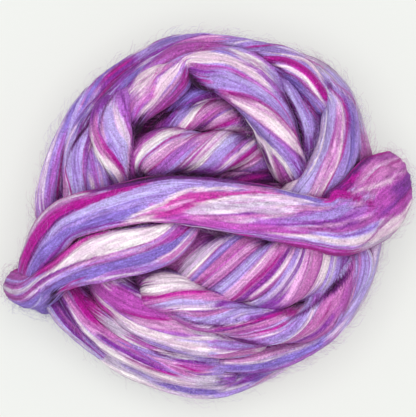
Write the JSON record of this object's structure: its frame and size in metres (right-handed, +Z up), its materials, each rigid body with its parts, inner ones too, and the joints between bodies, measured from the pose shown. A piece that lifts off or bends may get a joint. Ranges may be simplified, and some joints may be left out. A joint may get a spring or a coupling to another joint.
{
  "type": "wool roving",
  "caption": "Round nest of multi-colour combed wool roving, coiled and twisted, with its last passes wound across the top; for spinning or felting; rests flat.",
  "frame": {"origin": "on the resting plane, at the middle of the nest's flat underside", "axes": "+Z up out of the flat underside; +X along the passes over the crown, to the fanned end; +Y across them, towards the open eye of the nest"},
  "size_m": [0.2064, 0.1838, 0.0962],
  "materials": {
    "roving": "combed wool, matt with a soft sheen, in streaks of white, lavender, periwinkle, pink, magenta and purple along the fibre"
  },
  "bodies": {
    "root": {"roving": "roving"}
  },
  "joints": []
}
